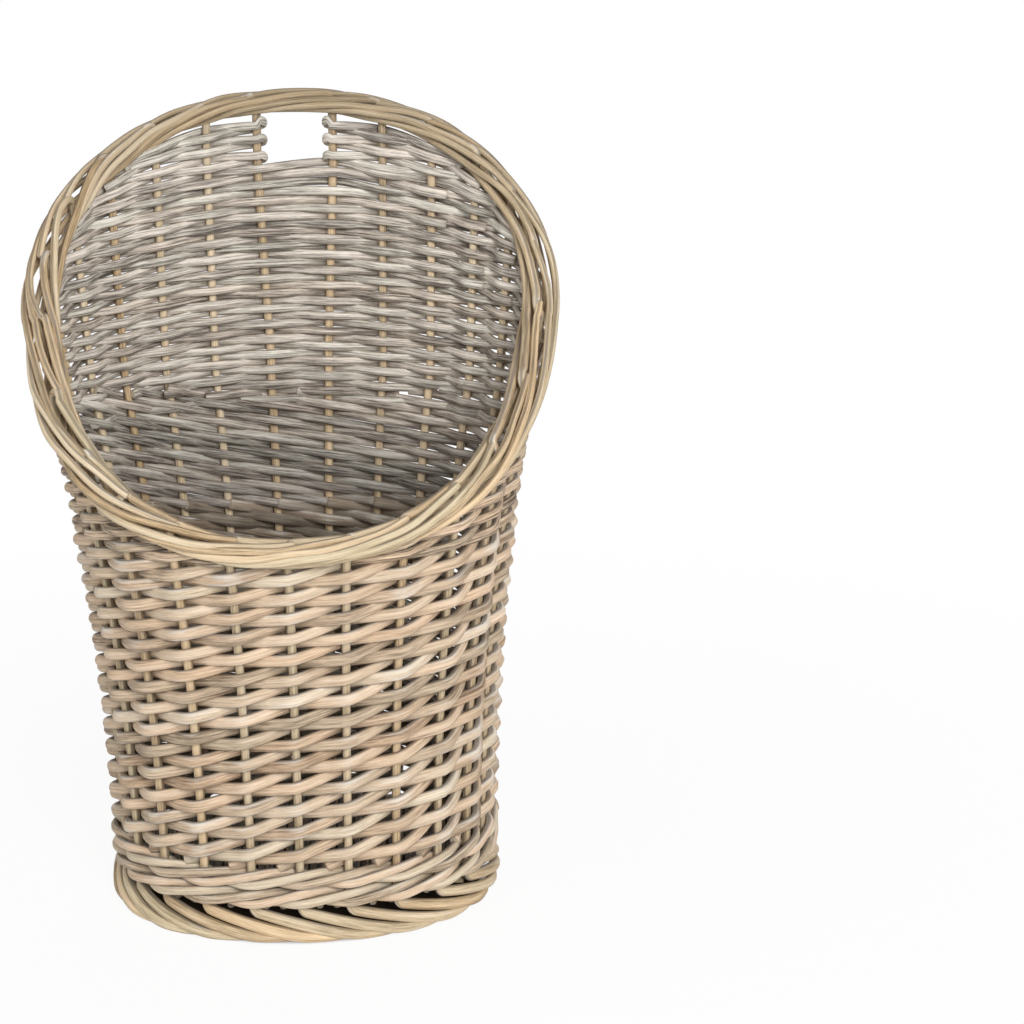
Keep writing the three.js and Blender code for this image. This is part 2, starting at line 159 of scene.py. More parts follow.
# %% [markdown]
# ## One rod
#
# A rod is an oval section carried along a path. Willow is never perfect, so a rod wanders a little,
# swells and thins, and ends in a flat cut with a worn edge. A curve object with a bevel could draw the
# tube, but not tell the finish where on a rod it is. So the tube is worked out here, and with each
# vertex goes a record of where it lies on its rod (the grain: the length along it, how far up or down
# its section, and how far to the outside of the basket) and three chance numbers for its rod (the
# tone). The third is raised where the rod bends sharply, because the skin cracks there.

# %% How a rod wanders and swells
DRIFT_WAVES = np.array([190.0, 83.0, 37.0])  # lengths of the three waves of a wander
DRIFT_SHARES = np.array([0.5, 0.35, 0.2])


def distance(path):
    """Length along a path, from its first point to each point."""
    return np.concatenate([[0], np.cumsum(np.linalg.norm(np.diff(path, axis=0), axis=1))])


def drift(length):
    """Slow wander along a rod: three sine waves of random phase, together about -1 to 1."""
    waves = chance.uniform(0.8, 1.2, 3) / DRIFT_WAVES
    phase = chance.uniform(0, 1, 3)
    return np.sin(2 * np.pi * (length[:, None] * waves + phase)) @ DRIFT_SHARES


def swelling(length, least, most, swell):
    """Size of a rod as a share of the usual one: by chance from least to most, times 1 + swell * drift."""
    return chance.uniform(least, most) * (1 + swell * drift(length))


print("a rod wanders in waves of", DRIFT_WAVES.tolist(), "mm")

# %% Make a rod
SIDES = 12
STATIONS = 8  # points along each stake space
END_REACH, END_SIZE = 0.5, 0.8  # length of the worn edge of a cut, and the size of the section at its end
GRAIN_RANGE = 9000.0  # each rod reads its own stretch of the pattern, which starts within this length
CRACKING, MOST_CRACKED = 7.0, 0.8  # what a curvature of 1 per mm adds to the tone, and the most added


def rod(path, tall, thick, upright=True):
    """Oval tube: at each station tall * cos(a) along a first vector and thick * sin(a) along a second.

    The first vector is up, or out of the wall for a rod that isn't upright, made square to the path.
    A smaller ring just past each end rounds the edge of the cut.
    """
    ends = unit(np.stack([path[0] - path[1], path[-1] - path[-2]]))
    path = np.concatenate([path[:1] + END_REACH * ends[:1], path, path[-1:] + END_REACH * ends[1:]])
    worn = np.concatenate([[END_SIZE], np.ones(len(path) - 2), [END_SIZE]])
    tall, thick = (worn * np.pad(np.broadcast_to(r, len(path) - 2), 1, mode="edge") for r in (tall, thick))
    out = outward(angle_at(path), path[:, 2])
    length = distance(path)
    forward = unit(np.gradient(path, length, axis=0))
    first = np.broadcast_to(UP, path.shape) if upright else out
    first = unit(first - (first * forward).sum(1, keepdims=True) * forward)
    second = np.cross(forward, first)
    angle = 2 * np.pi * (np.arange(SIDES) + 0.5) / SIDES
    cos, sin = np.cos(angle)[None, :, None], np.sin(angle)[None, :, None]
    ring = tall[:, None, None] * cos * first[:, None] + thick[:, None, None] * sin * second[:, None]
    points = path[:, None] + ring
    start = chance.uniform(0, GRAIN_RANGE)
    along = np.broadcast_to((length + start)[:, None, None], (len(path), SIDES, 1))
    to_outside = np.sign((second * out).sum(1))[:, None, None]
    edge, face = (cos, sin * to_outside) if upright else (sin, cos)
    grain = np.concatenate([along, 0 * along + edge, 0 * along + face], 2)
    bend = np.linalg.norm(np.gradient(forward, length, axis=0), axis=1)
    tone = np.tile(chance.random(3), (len(path), SIDES, 1))
    tone[:, :, 2] += np.minimum(MOST_CRACKED, CRACKING * bend)[:, None]
    station, side = np.meshgrid(np.arange(len(path) - 1), np.arange(SIDES), indexing="ij")
    here, beside = station * SIDES + side, station * SIDES + (side + 1) % SIDES
    skin = np.stack([here, beside, beside + SIDES, here + SIDES], -1).reshape(-1, 4)
    k = np.arange(SIDES // 2 - 1)
    cap = np.stack([k, k + 1, SIDES - 2 - k, SIDES - 1 - k], -1)
    faces = np.concatenate([skin, cap[:, ::-1], cap + (len(path) - 1) * SIDES])
    is_cut = np.repeat([False, True], [len(skin), 2 * len(cap)])
    return points.reshape(-1, 3), faces, is_cut, grain.reshape(-1, 3), tone.reshape(-1, 3)


print("sections have", SIDES, "sides, with", STATIONS, "stations in each stake space")


# %% Join rods into a piece
def add_piece(name, rods, finishes, node):
    """Joins rods into one mesh at the origin, in metres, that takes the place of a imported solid."""
    starts = np.cumsum([0] + [len(points) for points, *_ in rods[:-1]])
    points = (np.concatenate([r[0] for r in rods]) + shift) * MM
    faces = np.concatenate([r[1] + start for r, start in zip(rods, starts)])
    is_cut = np.concatenate([r[2] for r in rods])
    mesh = bpy.data.meshes.new(name)
    mesh.from_pydata(points, [], faces)
    mesh.polygons.foreach_set("use_smooth", ~is_cut)
    mesh.polygons.foreach_set("material_index", is_cut.astype(np.int32))
    for label, column in (("grain", 3), ("tone", 4)):
        values = np.concatenate([r[column] for r in rods]).astype(np.float32)
        mesh.attributes.new(label, "FLOAT_VECTOR", "POINT").data.foreach_set("vector", values.ravel())
    for finish in finishes:
        mesh.materials.append(finish)
    piece = bpy.data.objects.new(name, mesh)
    bpy.context.scene.collection.objects.link(piece)
    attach(piece, "root")
    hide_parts(node)
    return 2 * len(faces)


print("each piece is one mesh, and its vertices carry grain and tone")

# %% [markdown]
# ## The finish
#
# Peeled willow is straw-coloured, with fine streaks along the rod. These rods have been greyed and
# washed with thin white, which stays in the crevices and along the edges. A picture of willow would
# repeat from rod to rod. The streaks have to differ, and to follow each rod round its bends, so the
# pattern is noise that reads the grain of every vertex, stretched along the rod. Sums and products of
# shader values are written as plain Python sums and products.


# %% Shader arithmetic
class Field:
    """An output socket. Sums, differences, products and powers of fields add Math nodes."""

    def __init__(self, finish, socket):
        self.finish, self.socket = finish, socket

    def math(self, operation, first, second):
        """A Math node on two fields or numbers."""
        return self.finish.add("ShaderNodeMath", {"operation": operation}, {0: first, 1: second})

    def part(self, output):
        """Another output of the same node."""
        return Field(self.finish, self.socket.node.outputs[output])

    def __add__(self, other):
        return self.math("ADD", self, other)

    def __sub__(self, other):
        return self.math("SUBTRACT", self, other)

    def __rsub__(self, other):
        return self.math("SUBTRACT", other, self)

    def __mul__(self, other):
        return self.math("MULTIPLY", self, other)

    def __pow__(self, other):
        return self.math("POWER", self, other)

    __radd__, __rmul__ = __add__, __mul__


print("fields can be added, subtracted, multiplied and raised to a power")

# %% Nodes of a finish
BUMP_DEPTH = 0.0006  # metres


class Finish:
    """The shader nodes of a material or a world, in the making."""

    def __init__(self, owner):
        owner.use_nodes = True
        self.owner, self.tree = owner, owner.node_tree
        self.tree.nodes.clear()

    def add(self, kind, settings, sockets, output=0):
        """Adds a node: its settings first, then the values or links of its sockets."""
        node = self.tree.nodes.new(kind)
        for key, value in settings.items():
            if key == "stops":
                for stop, (place, colour) in enumerate(value):
                    element = node.color_ramp.elements
                    point = element[stop] if stop < len(element) else element.new(place)
                    point.position, point.color = place, colour
            else:
                setattr(node, key, value)
        for key, value in sockets.items():
            if isinstance(value, Field):
                self.tree.links.new(value.socket, node.inputs[key])
            else:
                node.inputs[key].default_value = value
        return Field(self, node.outputs[output] if node.outputs else None)

    def ramp(self, value, start, end):
        """0 where value is at start, 1 where it is at end, and straight between."""
        return self.add("ShaderNodeMapRange", {}, {"Value": value, "From Min": start, "From Max": end})

    def mix(self, share, first, second, blend="MIX"):
        """Colour first, turned towards colour second by share."""
        settings = {"data_type": "RGBA", "blend_type": blend, "clamp_factor": True}
        return self.add("ShaderNodeMix", settings, {0: share, 6: first, 7: second}, 2)

    def noise(self, vector, stretch, detail):
        """Noise between about 0.25 and 0.75 on a vector, each part of which is stretched first."""
        vector = self.add("ShaderNodeVectorMath", {"operation": "MULTIPLY"}, {0: vector, 1: stretch})
        sockets = {"Vector": vector, "Scale": 1.0, "Detail": detail, "Roughness": 0.6}
        return self.add("ShaderNodeTexNoise", {}, sockets)

    def shine(self, colour, roughness, height, strength, specular):
        """A plain reflecting surface with a bumped face, as the end of the recipe."""
        sockets = {"Strength": strength, "Distance": BUMP_DEPTH, "Height": height}
        normal = self.add("ShaderNodeBump", {}, sockets, "Normal")
        sockets = {"Base Color": colour, "Roughness": roughness, "Normal": normal}
        shader = self.add("ShaderNodeBsdfPrincipled", {}, {**sockets, "Specular IOR Level": specular})
        self.add("ShaderNodeOutputMaterial", {}, {"Surface": shader})
        return self.owner


def srgb(red, green, blue):
    """A colour as seen on a screen, 0 to 255, as the linear numbers that shaders use."""
    share = np.array([red, green, blue]) / 255
    linear = np.where(share <= 0.04045, share / 12.92, ((share + 0.055) / 1.055) ** 2.4)
    return (*linear.tolist(), 1.0)


print("a mid grey of 128 is", round(srgb(128, 128, 128)[0], 3), "in linear light")

# %% [markdown]
# ### Peeled willow and its cut ends
#
# One recipe serves all the rods, because they are all willow and differ only in colour, age and painted
# shade. The colour runs from a dark to a light shade, by the tone of the rod, by broad blotches and by
# streaks. A second chance number of each rod turns it warmer or a little olive, and the third says how
# much of the white wash it kept. The wash sits in streaks near the edges of the section and in the
# cracks of sharp bends. The very edge, where two rods meet, is painted dark, as shade in the crevice.
# The inside is greyer and darker towards the bottom: greyed willow and painted shade deep in the
# basket. The thin grey rods are browner outside, and a little darker there as painted shade under the
# rim. The stakes and the rim are greyer and darker high up. A cut end shows pale, dry wood.

# %% Recipes of the finishes
WHITE = (1.0, 1.0, 1.0, 1.0)
# The second colour is painted shade, for the crevices where two rods meet.
WASH, CREVICE_SHADE_COLOUR, OLIVE = srgb(232, 226, 216), srgb(70, 56, 44), srgb(242, 246, 238)
# Each pattern is stretched by these numbers: along the rod, per millimetre, and twice across its section.
BLOTCHES, STREAKS = (0.02, 0.5, 0.5), (0.035, 2.6, 2.6)
FIBRES, LIME = (0.12, 9.0, 9.0), (0.045, 1.7, 1.7)
PORES = (900.0, 900.0, 900.0)  # per metre
INSIDE = (0.3, -0.6)  # share to the outside at which the inside begins, and at which it is complete
DEEP, HIGH = (0.31, 0.2), (0.38, 0.47)  # heights in metres where the tints of the inside and top come in


def willow(name, dark, mid, light, warm, streaky, wash_share, deep_inner_grey_and_shade, outer_brown_and_shade, top):
    """Finish of a rod: three shades, a warm tint, how streaky and washed it is, and three tints.

    The first is for the inside deep down, greyer willow and painted shade; the second for the outside,
    browner and a little darker as painted shade under the rim; the third for what stands high.
    """
    finish = Finish(bpy.data.materials.new(name))
    grain = finish.add("ShaderNodeAttribute", {"attribute_name": "grain"}, {}, "Vector")
    tone = finish.add("ShaderNodeAttribute", {"attribute_name": "tone"}, {}, "Vector")
    shade = finish.add("ShaderNodeSeparateXYZ", {}, {0: tone}, "X")
    warmth, wash_kept = shade.part("Y"), shade.part("Z")
    edge = finish.add("ShaderNodeSeparateXYZ", {}, {0: grain}, "Y")
    inside = finish.ramp(edge.part("Z"), *INSIDE)
    place = finish.add("ShaderNodeTexCoord", {}, {}, "Object")
    height = finish.add("ShaderNodeSeparateXYZ", {}, {0: place}, "Z")
    blotch = finish.noise(grain, BLOTCHES, 2.0)
    streak = finish.noise(grain, STREAKS, 4.0)
    fibre = finish.noise(grain, FIBRES, 3.0)
    lime = finish.noise(grain, LIME, 5.0)

    # The numbers from here on are shares, chosen against the photograph.
    lines = (streak - 0.5) * 0.9 + (fibre - 0.5) * 0.6
    lightness = 0.5 + (shade - 0.5) * 0.3 + (blotch - 0.5) * 0.5 + lines * streaky
    stops = [(0.12, dark), (0.5, mid), (0.9, light)]
    colour = finish.add("ShaderNodeValToRGB", {"stops": stops}, {"Fac": lightness}, "Color")
    colour = finish.mix(warmth**1.6 * 0.7, colour, warm, "MULTIPLY")
    colour = finish.mix((1 - warmth) ** 2 * 0.6, colour, OLIVE, "MULTIPLY")
    # Partly painted shade: the inside deep down is greyer willow, and darker as shade in the basket.
    colour = finish.mix(inside * finish.ramp(height, *DEEP), colour, deep_inner_grey_and_shade, "MULTIPLY")
    # Partly painted shade: the outside is browner, and a little darker as shade under the rim.
    colour = finish.mix(1 - inside, colour, outer_brown_and_shade, "MULTIPLY")
    colour = finish.mix(finish.ramp(height, *HIGH), colour, top, "MULTIPLY")

    kept = edge**2 * 0.25 + lime + wash_kept * 0.22
    washed = finish.ramp(kept, 0.82 - wash_share, 1.1 - wash_share)
    split = finish.ramp(fibre, 0.36, 0.28)
    # Painted shade: the very edge of a section, where two rods meet, is turned dark.
    crevice_shade = finish.ramp(edge**2 + (lime - 0.5) * 0.4, 0.7, 1.0)
    colour = finish.mix(washed * 0.75, colour, WASH)
    colour = finish.mix(split * 0.3, colour, dark)
    colour = finish.mix(crevice_shade * 0.7, colour, CREVICE_SHADE_COLOUR)
    return finish.shine(colour, 0.52 + streak * 0.2 + washed * 0.15, fibre * 0.6 + streak, 0.4, 0.3)


def cut_end(name, pale, ring):
    """Finish of a cut: dry wood with pores."""
    finish = Finish(bpy.data.materials.new(name))
    place = finish.add("ShaderNodeTexCoord", {}, {}, "Object")
    pores = finish.noise(place, PORES, 3.0)
    return finish.shine(finish.mix(pores, ring, pale), 0.8, pores, 0.4, 0.2)


print("recipes: rods and cut ends")

# %% Make the finishes
straw = willow(
    "straw_willow",
    dark=srgb(126, 106, 78), mid=srgb(212, 192, 162), light=srgb(244, 228, 204), warm=srgb(253, 238, 214),
    streaky=1.0, wash_share=-0.06, deep_inner_grey_and_shade=srgb(236, 236, 236), outer_brown_and_shade=WHITE, top=srgb(202, 201, 198),
)
tan = willow(
    "tan_willow",
    dark=srgb(112, 95, 78), mid=srgb(204, 184, 160), light=srgb(240, 225, 205), warm=srgb(255, 236, 218),
    streaky=1.1, wash_share=0.04, deep_inner_grey_and_shade=srgb(166, 170, 176), outer_brown_and_shade=WHITE, top=WHITE,
)
grey = willow(
    "grey_willow",
    dark=srgb(94, 87, 81), mid=srgb(186, 178, 168), light=srgb(238, 231, 221), warm=srgb(252, 243, 234),
    streaky=2.3, wash_share=-0.02, deep_inner_grey_and_shade=srgb(186, 186, 188), outer_brown_and_shade=srgb(255, 238, 218),
    top=srgb(250, 250, 252),
)
cut = cut_end("cut_willow", pale=srgb(222, 210, 188), ring=srgb(150, 130, 104))
print("finishes:", [m.name for m in (straw, tan, grey, cut)])

# %% [markdown]
# ## Stakes, foot and rim
#
# Each stake is one rod from foot to rim. Below, it turns out to the right and comes down to the ground
# as a stroke of the foot border. Then it stands up as a rib of the wall and comes up through the middle
# of the rim. There it bends over to the right and becomes one strand of the rim: from the top to the
# inside, underneath, outside and back to the top, where it is cut off. So eight strands always lie
# round each other. Foot, rib and rim could be separate pieces, but one path keeps the bends between
# them. On the left, where the rim runs down from the back, each stake has to bend sharply, and the bend
# shows as a blunt start.

# %% The rolled rim
RIM_TALL, RIM_WIDE, RIM_FLATTER = 7.0, 9.0, 0.3
RIM_ROD_R, RIM_ROD_THINNER, RIM_ROD_START, RIM_ROD_END = 2.3, 0.1, 1.08, 0.86
RIM_ROUNDS = 8  # of going up to the rim, to find the angle at which a place meets it


def rim_height(t):
    """Height of the rim's centre: the front height, plus a cosine step up to the back."""
    return RIM_FRONT_HEIGHT + (RIM_BACK_HEIGHT - RIM_FRONT_HEIGHT) * ((1 - np.cos(t)) / 2) ** RIM_SWEEP


def rim_angle(place):
    """Angle at which a place meets the rim: a few rounds of going up to the rim at the last angle."""
    t = stake_angle(place, GATHER_HEIGHT)
    for _ in range(RIM_ROUNDS):
        t = stake_angle(place, rim_height(t))
    return t


def rim_centre(t):
    """Point on the centre line of the rim."""
    return plan(t, rim_height(t))


def rim_tall(t):
    """Half height of the roll of the rim, which is flatter in front and behind than at the sides."""
    return RIM_TALL * (1 - RIM_FLATTER * np.cos(t) ** 2)


def rim(t, turn, size=1.0):
    """Point on the oval roll of the rim: turn 0 is outside, a quarter above, a half inside."""
    along = unit(rim_centre(t + NUDGE) - rim_centre(t - NUDGE))
    out = outward(t, rim_height(t))
    out = unit(out - (out * along).sum(-1, keepdims=True) * along)
    above = np.cross(out, along)
    angle = 2 * np.pi * np.asarray(turn)[..., None]
    size = np.asarray(size)[..., None]
    tall = np.asarray(rim_tall(t))[..., None]
    return rim_centre(t) + size * (RIM_WIDE * np.cos(angle) * out + tall * np.sin(angle) * above)


print("rim roll of", 2 * (RIM_TALL + RIM_ROD_R), "by", 2 * (RIM_WIDE + RIM_ROD_R), "mm")

# %% The path of a stake
BEND = 6.0
FOOT_TOP, FOOT_ROD_R = 17.2, 3.4
FOOT_STROKE = np.array([  # spaces on from the stake, height, way out of the wall and share of the radius
    (2.9, 2.0, 3.6, 0.5), (2.5, 2.8, 5.4, 0.75), (2.0, 4.2, 6.0, 1.0), (1.4, 8.0, 5.4, 1.02),
    (0.7, 13.0, 3.4, 1.02), (0.15, 16.6, 1.0, 1.0),
])
RIM_ROLL_SPACES, RIM_END_SPACES, RIM_START_TURN = 8.2, 8.1, 0.3
RIM_START_BULGE = 0.3  # how far the first bend of a strand stands out beyond the roll, as a share
RIM_TURN_DRIFT, RIM_SIZE_DRIFT = 0.05, 0.13
RIM_SPACE = 27.0  # about a stake space along the rim, which makes a length of spaces
FOOT_BEND_STATIONS, RIB_STATIONS, RIM_BEND_STATIONS, STRAND_STATIONS = 7, 60, 9, 100
STAKE_SIZES = (0.94, 1.05, 0.03)  # least, most and swell of a rod


def spline(points, steps):
    """Smooth curve through points (Catmull-Rom): each span leans on the point before and after it."""
    p = np.concatenate([2 * points[:1] - points[1:2], points, 2 * points[-1:] - points[-2:-1]])
    u = np.linspace(0, 1, steps, endpoint=False)[None, :, None]
    a, b, c, d = p[:-3, None], p[1:-2, None], p[2:-1, None], p[3:, None]
    curve = b + 0.5 * u * (c - a + u * (2 * a - 5 * b + 4 * c - d + u * (3 * (b - c) + d - a)))
    return np.concatenate([curve.reshape(-1, points.shape[1]), points[-1:]])


def turned(start, corner, end, steps):
    """Quadratic curve from start to end, drawn towards a corner."""
    u = np.linspace(0, 1, steps)[:, None]
    return (1 - u) ** 2 * start + 2 * u * (1 - u) * corner + u**2 * end


def stake(index):
    """Path and radius of one stake: foot stroke, rib and rim strand, joined by two bends."""
    foot = spline(FOOT_STROKE, STATIONS)
    stroke = wall(index + foot[:, 0], foot[:, 1], foot[:, 2])
    rib_start = FOOT_TOP + BEND
    low = turned(stroke[-1], wall(index, FOOT_TOP), wall(index, rib_start), FOOT_BEND_STATIONS)
    t = rim_angle(index)
    rib = wall(index, np.linspace(rib_start, rim_height(t), RIB_STATIONS))
    spaces = np.linspace(BEND / space(index, rim_height(t)), RIM_END_SPACES, STRAND_STATIONS)
    along = RIM_SPACE * spaces
    turn = RIM_START_TURN + spaces / RIM_ROLL_SPACES + RIM_TURN_DRIFT * drift(along)
    on = rim_angle(index + spaces)
    strand = rim(on, turn, 1 + RIM_SIZE_DRIFT * drift(along))
    corner = (1 + RIM_START_BULGE) * rim(t, RIM_START_TURN) - RIM_START_BULGE * rib[-1]
    high = turned(rib[-1], corner, strand[0], RIM_BEND_STATIONS)
    parts = [stroke, low[1:-1], rib, high[1:-1], strand]
    ends = [
        (FOOT_ROD_R, STAKE_R),
        (STAKE_R, STAKE_R),
        (STAKE_R, RIM_ROD_R),
        (RIM_ROD_R * RIM_ROD_START, RIM_ROD_R * RIM_ROD_END),
    ]
    radius = [np.linspace(*pair, len(part)) for pair, part in zip(ends, parts[1:])]
    radius[-1] *= 1 + RIM_ROD_THINNER * np.cos(on)
    radius = np.concatenate([FOOT_ROD_R * foot[:, 3], *radius])
    path = np.concatenate(parts)
    return path, radius * swelling(distance(path), *STAKE_SIZES)


print("a strand ends after", RIM_END_SPACES, "stake spaces")

# %% Draw the stakes
triangles = 0
for index in range(STAKES):
    path, radius = stake(index)
    name = f"stake_{index + 1:02d}"
    rods = [rod(path, radius, radius, False)]
    triangles += add_piece(name + "_willow", rods, [straw, cut], name)
print("stakes:", STAKES, "triangles:", triangles)

# %% [markdown]
# ## Wale
#
# Above the foot, three rods are twisted round the stakes together. Each comes out low, rises in front
# of two stakes, and goes in behind the third above the other two. That locks the stakes in place. They
# go round almost twice, and step up to the second turn at the back. A sine wave could stand for the
# twist, but the stroke in front is long and the way behind is short. So the crossings are given, and
# the path is a smooth spline through them.

# %% Draw the wale
WALE_RODS, WALE_TALL, WALE_THICK, WALE_ROW, WALE_BOTTOM = 3, 2.8, 2.5, 6.0, 21.8
WALE_TURNS, WALE_STEP_SPACES, WALE_END_SPACES = 2, 2, 6
WALE_WANDER, WALE_SWELL = 0.4, 0.07
# The six beats of a rod are behind, coming out, in front, rising, in front and going in.
WALE_LIFT = np.array([0.5, 0.0, 0.0, 0.5, 1.0, 1.0])  # in layers
WALE_WAY_OUT = np.array([-5.2, 0.2, 5.2, 5.9, 5.4, 0.4])


def wale_level(index):
    """Height of the lower layer of a turn, which steps up to the next turn in its last few spaces."""
    turn = np.minimum(np.floor(index / STAKES), WALE_TURNS - 1)
    left = STAKES - (index - turn * STAKES)
    step = np.where(turn < WALE_TURNS - 1, np.maximum(0, 1 - left / WALE_STEP_SPACES), 0)
    return WALE_BOTTOM + WALE_TALL + 2 * WALE_ROW * (turn + step)


def wale_rod(first):
    """Crossings of one rod, at each stake and half way to the next, as place, height and way out.

    It sets out one space before its first stake, so that it lies close against the step.
    """
    half = np.arange(2 * first - 2, 2 * (WALE_TURNS * STAKES - WALE_END_SPACES) + 1) / 2
    beat = ((half - first) * 2).astype(int) % len(WALE_LIFT)
    height = wale_level(half) + WALE_ROW * WALE_LIFT[beat]
    return np.stack([BACK_STAKE + half, height, WALE_WAY_OUT[beat]], -1)


triangles = 0
for index in range(WALE_RODS):
    crossing = spline(wale_rod(index), STATIONS // 2)
    path = wall(*crossing.T)
    path[:, 2] += WALE_WANDER * drift(distance(path))
    tall = WALE_TALL * (1 + WALE_SWELL * drift(distance(path)))
    name = f"wale_rod_{index + 1:02d}"
    triangles += add_piece(name + "_willow", [rod(path, tall, WALE_THICK)], [tan, cut], name)
print("wale rods:", WALE_RODS, "triangles:", triangles)

# %% [markdown]
# ## Climbing weavers of the lower wall
#
# From each stake one weaver sets out to the right. It climbs a row at every stake, in front of one and
# behind the next. Between stakes the stiff rod runs almost straight and turns over the stake in a short
# curve, so its way in and out is a rounded triangle wave, not a sine. The rods taper, so the rows close
# up towards the top. Between the end and the start of the wale, where it is only one turn high, the
# weavers set out lower.

# %% How a weaver goes in, out and up
WEAVER_START, WEAVER_ROW, WEAVER_STEPS, WEAVER_CLOSING = 48.7, 6.8, 28, 0.1
WEAVE_SHARPNESS = 0.985
BACK_SQUEEZE = 0.14  # share by which the rows are lower at the back than in front
NESTLE = 1.5


def weave(place):
    """Rounded triangle wave, the arcsine of a shortened cosine: 1 at even places, -1 at odd ones."""
    return np.arcsin(WEAVE_SHARPNESS * np.cos(np.pi * place)) / np.arcsin(WEAVE_SHARPNESS)


def weaver_height(step, place):
    """Height of a weaver after some steps: higher steps at the foot and in front, lower ones behind."""
    squeeze = 1 - BACK_SQUEEZE * ((1 - np.cos(stake_angle(place, WEAVER_START))) / 2) ** 2
    return WEAVER_START + squeeze * step * WEAVER_ROW * (1 + WEAVER_CLOSING * (1 - step / WEAVER_STEPS))


def nestle(place, inside):
    """How far a rod of the back lies above its row inside the stakes, and below it outside them."""
    return NESTLE * np.maximum(0, -np.cos(stake_angle(place, WEAVER_START))) * inside


print("a weaver climbs to", weaver_height(WEAVER_STEPS, 0).round(1), "mm in front")

# %% Draw the climbing weavers
WEAVER_FROM, WEAVER_LOWER, WEAVER_END = -0.45, 1.2, 28.0  # in steps from the stake
WEAVER_OUT, WEAVER_TALL, WEAVER_THICK, WEAVER_TAPER = 5.6, 3.5, 2.9, 0.08
WEAVER_WANDER, WEAVER_SWAY_DRIFT = 0.5, 0.05
WEAVER_SIZES = (0.95, 1.06, 0.04)  # least, most and swell of a rod
WALL_SPACE = 25.0  # about a stake space of the wall, which makes a length of steps

triangles = 0
for index in range(STAKES):
    over_one_turn = BACK_STAKE - WALE_END_SPACES < index <= BACK_STAKE + 1
    begin = WEAVER_FROM - WEAVER_LOWER * over_one_turn
    step = np.linspace(begin, WEAVER_END, int((WEAVER_END - begin) * STATIONS))
    along = WALL_SPACE * step
    sway = weave(step)
    z = weaver_height(step, index + step) + nestle(index + step, sway) + WEAVER_WANDER * drift(along)
    path = wall(index + step, z, -WEAVER_OUT * sway * (1 + WEAVER_SWAY_DRIFT * drift(along)))
    taper = 1 + WEAVER_TAPER * (0.5 - step / WEAVER_STEPS)
    size = swelling(along, *WEAVER_SIZES) * taper
    rods = [rod(path, size * WEAVER_TALL, size * WEAVER_THICK)]
    name = f"weaver_{index + 1:02d}"
    triangles += add_piece(name + "_willow", rods, [tan, cut], name)
print("weavers:", STAKES, "triangles:", triangles)

# %% [markdown]
# ## The tall back
#
# Behind the slanted mouth the wall goes on with thinner rods. Where a climbing weaver ends, a thin one
# goes on climbing in its place, until it meets the rim or the height where the level rows begin, and is
# cut off there. Above that height, thin rods lie in level rows. They could simply stop at the rim, but
# that leaves open wedges. Where a row nears the rim it turns down and runs along under it for a while,
# so the rows crowd together there. Beside the hanging hole the rods go round the two middle stakes and
# come back, which leaves the hole open.

# %% Heights of the rows under the slanted rim
CLIMB_ROW, CLIMB_TOP, CLIMB_TOP_RISE = 5.2, 282.0, 20.0
BACK_START, BACK_ROW, BACK_DROOP, BACK_TALL, BACK_THICK = 279.0, 4.65, 0.12, 2.75, 2.0
CROWDING = 7.0
RIM_SEAT = 0.3  # how far under the middle of the lowest strand the rows stop, in strand radii
ROW_END_STEP = 0.05  # in spaces, for the search of a row's end
ROW_END_REACH = 1.2  # how far past the rim's underside a row would be at its end, in crowding widths


def rim_below(place):
    """Underside of the rim at a place."""
    t = rim_angle(place)
    ahead, behind = rim_centre(t + NUDGE), rim_centre(t - NUDGE)
    slope = (ahead - behind)[..., 2] / np.linalg.norm((ahead - behind)[..., :2], axis=-1)
    return rim_height(t) - (rim_tall(t) + RIM_SEAT * RIM_ROD_R) * np.hypot(1, slope)


def climb_top(place):
    """Height up to which the rods climb: a little more at the sides than behind."""
    return CLIMB_TOP + CLIMB_TOP_RISE * np.sin(stake_angle(place, CLIMB_TOP)) ** 2


def level(height, place):
    """Height of a row at a place, when it would be at a height if there were no rim.

    The room under the rim is the crowding width times log(1 + exp(room / width)): far below the rim
    that is the room itself, and it never quite comes down to nothing.
    """
    ceiling = rim_below(place)
    return ceiling - CROWDING * np.logaddexp(0, (ceiling - height) / CROWDING)


def row_height(row, place):
    """Height of a level row without the rim. The rows close up a little towards the sides."""
    return BACK_START + row * BACK_ROW * (1 - BACK_DROOP * np.sin(stake_angle(place, BACK_START)) ** 2)


def row_end(row):
    """Place on the +X side, with fractions of a space, where a row starts between climbers and rim."""
    places = np.arange(0, BACK_STAKE + ROW_END_STEP / 2, ROW_END_STEP)
    z = row_height(row, places)
    free = (z < rim_below(places) + ROW_END_REACH * CROWDING) & (z > climb_top(places) - BACK_TALL)
    return places[np.argmax(free)]


rows = np.arange(int((HOLE_BOTTOM - BACK_START) / BACK_ROW) + 1)
print("level rows below the hole:", len(rows))

# %% Draw the climbing rods of the back
CLIMB_OUT, CLIMB_TALL, CLIMB_THICK = 4.8, 2.8, 2.1
CLIMB_WANDER, CLIMB_SWAY_DRIFT, CLIMB_TOP_SPREAD = 0.4, 0.06, (-1, 2)
CLIMB_SIZES = (0.94, 1.06, 0.05)  # least, most and swell of a rod


